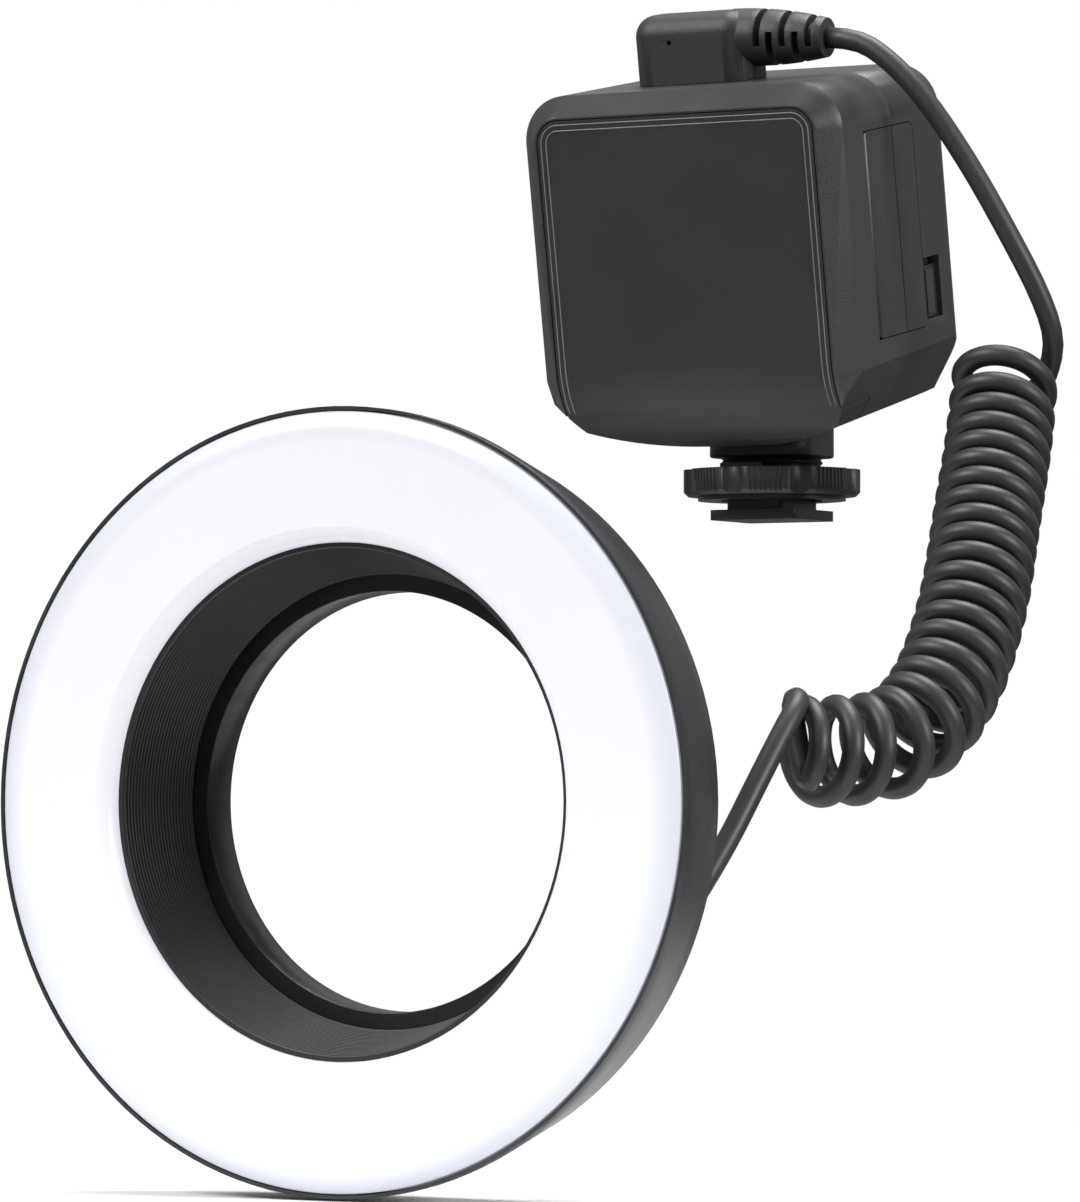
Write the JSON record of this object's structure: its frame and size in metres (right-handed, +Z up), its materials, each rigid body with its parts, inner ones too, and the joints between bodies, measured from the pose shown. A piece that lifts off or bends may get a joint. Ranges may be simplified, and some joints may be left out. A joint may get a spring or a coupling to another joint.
{
  "type": "macro ring flash",
  "caption": "Macro ring flash: a shoe-mounted controller with battery, display and dial, joined by a curly cord to a ring-shaped light head that screws onto a lens.",
  "frame": {"origin": "centre of the shoe foot's underside", "axes": "+Z up; -Y the way the light leaves, away from the camera; +X to the right seen from the lit side, which is the battery door's side"},
  "size_m": [0.1445, 0.1915, 0.2219],
  "materials": {
    "shell_plastic": "fine satin texture",
    "plate_plastic": "fine grain",
    "control_plastic": "satin",
    "button_rubber": "matte",
    "cord_rubber": "matte",
    "foot_metal": "satin black",
    "steel": "plain",
    "black_steel": "blackened",
    "contact_metal": "plated",
    "ring_plastic": "fine satin texture",
    "sleeve_plastic": "dull, ringed",
    "diffuser_plastic": "frosted, lets light through",
    "tray_plastic": "white, satin",
    "board": "solder mask",
    "led_board": "white solder mask",
    "led": "phosphor",
    "part_black": "plain",
    "window": "clear, dark behind",
    "display": "grey-green panel",
    "battery": "film wrapped",
    "adapter_metal": "black anodised"
  },
  "bodies": {
    "controller": {"front_cover": "shell_plastic", "front_plate": "plate_plastic", "rear_shell": "shell_plastic", "door_hinge_pin": "steel", "battery_tray": "part_black", "battery_pack": "battery", "battery_terminals": "contact_metal", "main_board": "board", "board_screws": "steel", "housing_screws": "black_steel", "display_window": "window", "display_module": "display", "dial_encoder": "part_black", "tact_switches": "part_black", "switch_base": "part_black", "cord_plug": "cord_rubber", "plug_jack": "contact_metal", "plug_socket": "part_black", "neck_block": "shell_plastic", "neck_screws": "steel", "shoe_foot": "foot_metal", "cord_lead_plug": "cord_rubber", "cord_coil": "cord_rubber", "cord_lead_ring": "cord_rubber"},
    "battery_door": {"battery_door": "shell_plastic"},
    "door_latch": {"door_latch": "control_plastic"},
    "control_dial": {"control_dial": "control_plastic"},
    "set_button": {"set_button": "button_rubber"},
    "mode_button_lower": {"mode_button_lower": "button_rubber"},
    "mode_button_upper": {"mode_button_upper": "button_rubber"},
    "power_switch": {"power_switch": "control_plastic"},
    "clamp_plate": {"clamp_plate": "black_steel"},
    "lock_wheel": {"lock_wheel": "control_plastic"},
    "ring_head": {"ring_housing": "ring_plastic", "ring_diffuser": "diffuser_plastic", "bore_sleeve": "sleeve_plastic", "light_tray": "tray_plastic", "led_board": "led_board", "leds": "led", "ring_rear_cover": "ring_plastic", "ring_screws": "black_steel", "cord_gland": "cord_rubber", "catch_springs": "steel"},
    "adapter_ring": {"adapter_ring": "adapter_metal"},
    "catch_right": {"catch_right": "control_plastic"},
    "catch_left": {"catch_left": "control_plastic"}
  },
  "joints": [
    {"name": "battery_door_hinge", "type": "hinge", "parent": "controller", "child": "battery_door", "pos_m": [0.0328, -0.0243, 0.05288], "axis": [0, 0.1822, -0.9833], "range_deg": [0, 90], "deforming": ["cord_lead_plug"]},
    {"name": "door_latch_slide", "type": "slide", "parent": "controller", "child": "door_latch", "axis": [0, -0.1822, 0.9833], "range_m": [0, 0.0015]},
    {"name": "control_dial_turn", "type": "hinge", "parent": "controller", "child": "control_dial", "pos_m": [0, 0.01566, 0.04198], "axis": [0, 0.9833, 0.1822], "continuous": true},
    {"name": "set_button_press", "type": "slide", "parent": "controller", "child": "set_button", "axis": [0, -0.9833, -0.1822], "range_m": [0, 0.0005], "stiffness_N_per_m": 400},
    {"name": "mode_button_lower_press", "type": "slide", "parent": "controller", "child": "mode_button_lower", "axis": [0, -0.9833, -0.1822], "range_m": [0, 0.0005], "stiffness_N_per_m": 400},
    {"name": "mode_button_upper_press", "type": "slide", "parent": "controller", "child": "mode_button_upper", "axis": [0, -0.9833, -0.1822], "range_m": [0, 0.0005], "stiffness_N_per_m": 400},
    {"name": "power_switch_slide", "type": "slide", "parent": "controller", "child": "power_switch", "axis": [0, -0.1822, 0.9833], "range_m": [0, 0.003]},
    {"name": "clamp_plate_slide", "type": "slide", "parent": "controller", "child": "clamp_plate", "axis": [0, 0, 1], "range_m": [0, 0.00101]},
    {"name": "lock_wheel_turn", "type": "hinge", "parent": "clamp_plate", "child": "lock_wheel", "pos_m": [0, 0, 0.0074], "axis": [0, 0, 1], "range_deg": [0, 360]},
    {"name": "ring_head_reach", "type": "slide", "parent": "controller", "child": "ring_head", "axis": [0, -1, 0], "range_m": [-0.025, 0.04], "deforming": ["cord_coil", "cord_lead_ring"]},
    {"name": "adapter_ring_turn", "type": "hinge", "parent": "ring_head", "child": "adapter_ring", "pos_m": [0, -0.148, -0.055], "axis": [0, 1, 0], "continuous": true},
    {"name": "catch_right_slide", "type": "slide", "parent": "ring_head", "child": "catch_right", "axis": [1, 0, 0], "range_m": [0, 0.002], "stiffness_N_per_m": 200, "deforming": ["catch_springs"]},
    {"name": "catch_left_slide", "type": "slide", "parent": "ring_head", "child": "catch_left", "axis": [-1, 0, 0], "range_m": [0, 0.002], "stiffness_N_per_m": 200, "deforming": ["catch_springs"]}
  ],
  "couplings": [
    {"joint": "clamp_plate_slide", "follows": "lock_wheel_turn", "m_per_rad": 0.00015915}
  ]
}
